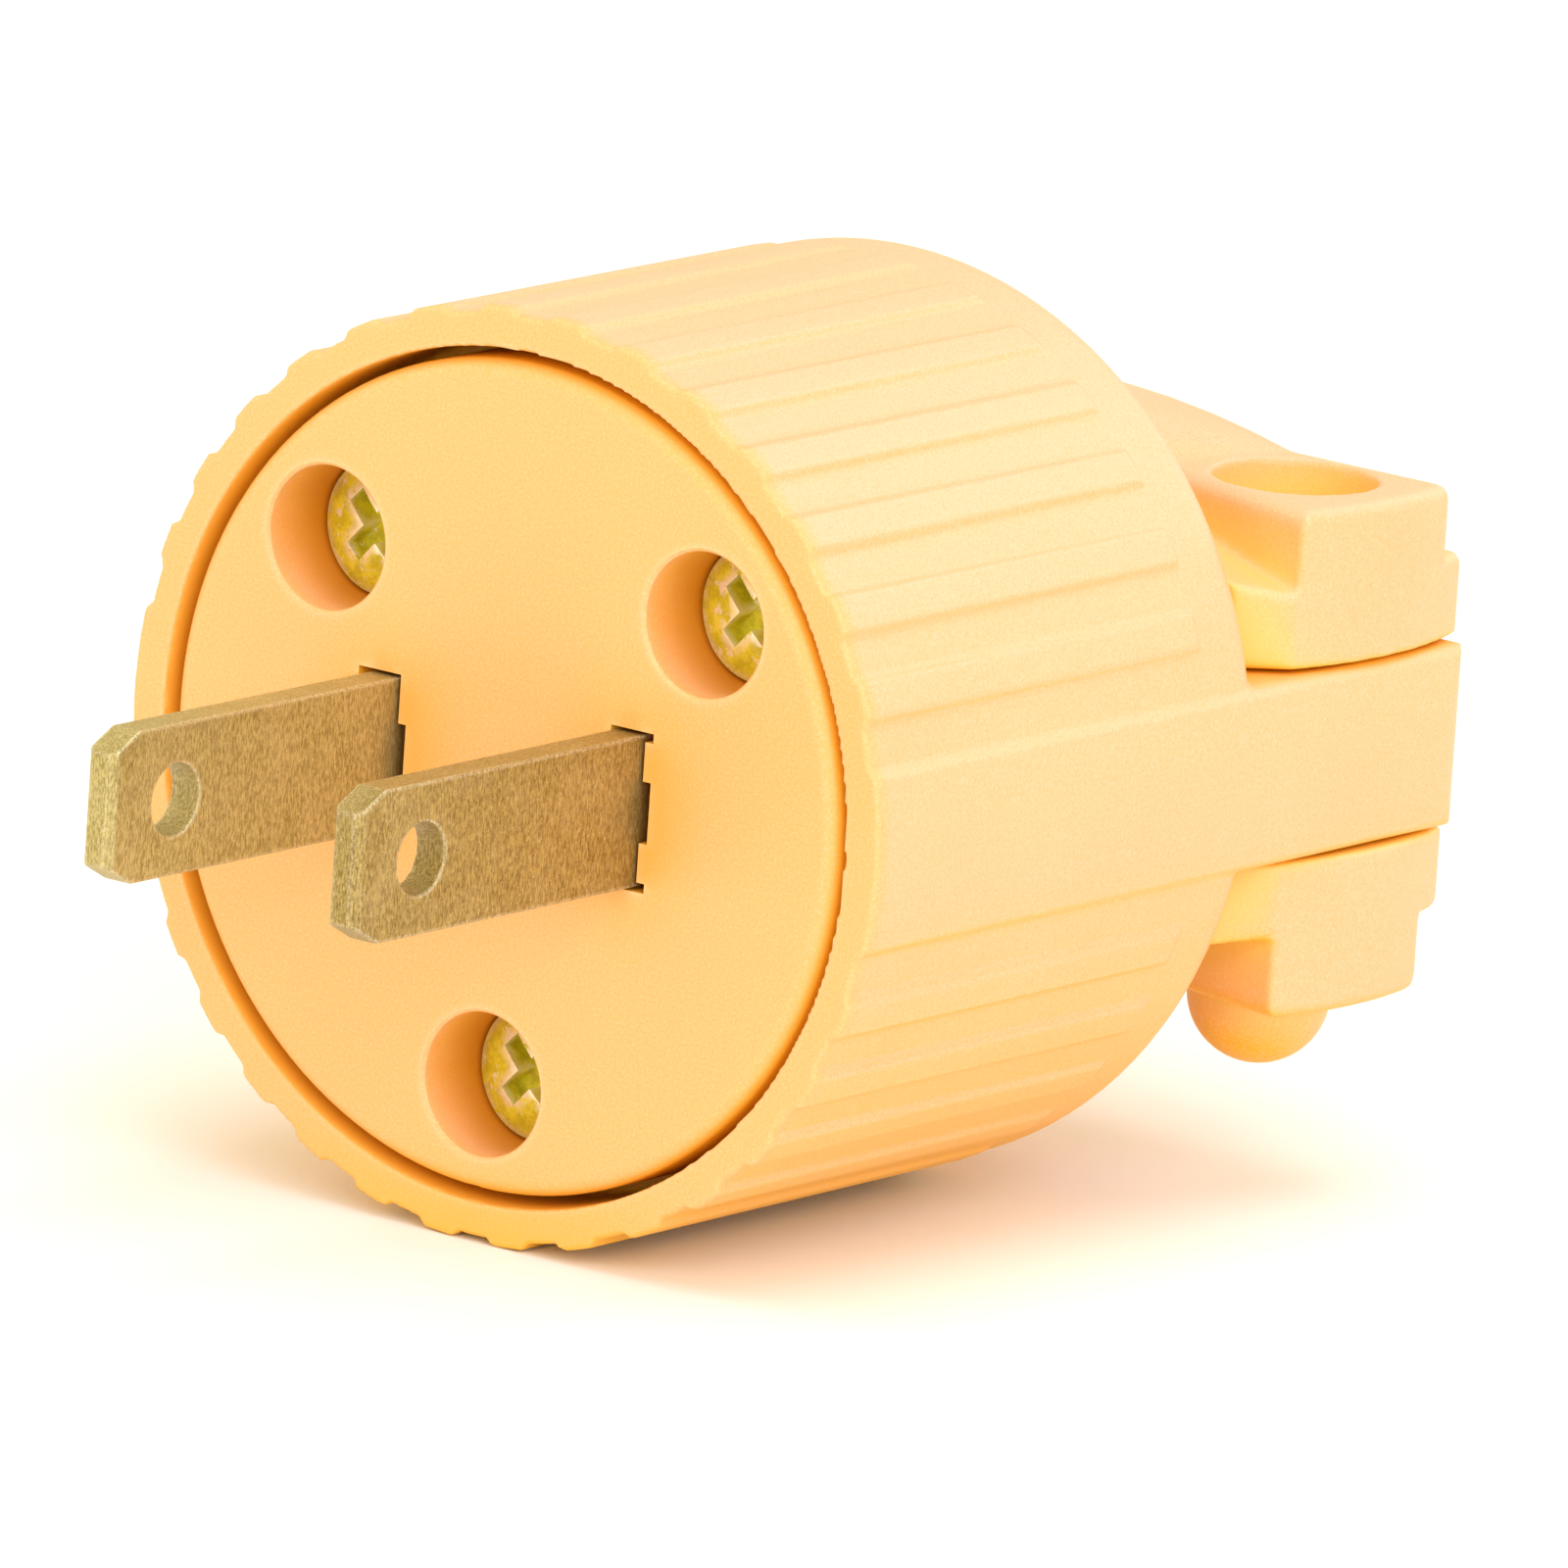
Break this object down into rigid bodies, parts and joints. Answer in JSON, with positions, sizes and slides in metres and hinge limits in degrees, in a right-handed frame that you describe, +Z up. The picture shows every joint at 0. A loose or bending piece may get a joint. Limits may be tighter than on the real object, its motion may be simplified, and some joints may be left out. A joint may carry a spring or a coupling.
{
  "type": "power plug",
  "caption": "Flat-blade mains plug that can be rewired: ribbed round housing, screwed front insulator with keyed blade slots and a screwed cord clamp at the rear.",
  "frame": {"origin": "on the plug's axis, in the plane of the front face, midway between the blades", "axes": "+Y to the rear, where the cord enters; the blades point to -Y; +Z up along the blades' width; +X across the blades"},
  "size_m": [0.0386, 0.0586, 0.0386],
  "materials": {
    "plastic": "satin moulded thermoset, pale amber",
    "face_plastic": "satin moulded thermoset, amber",
    "brass": "rolled, satin, with fine scratches",
    "screw_steel": "yellow zinc plated"
  },
  "bodies": {
    "root": {"housing": "plastic", "front_insulator": "face_plastic", "blade_left": "brass", "blade_right": "brass", "terminal_screws": "screw_steel", "assembly_screws": "screw_steel", "clamp_upper": "plastic", "clamp_lower": "plastic", "clamp_screws": "screw_steel"}
  },
  "joints": []
}
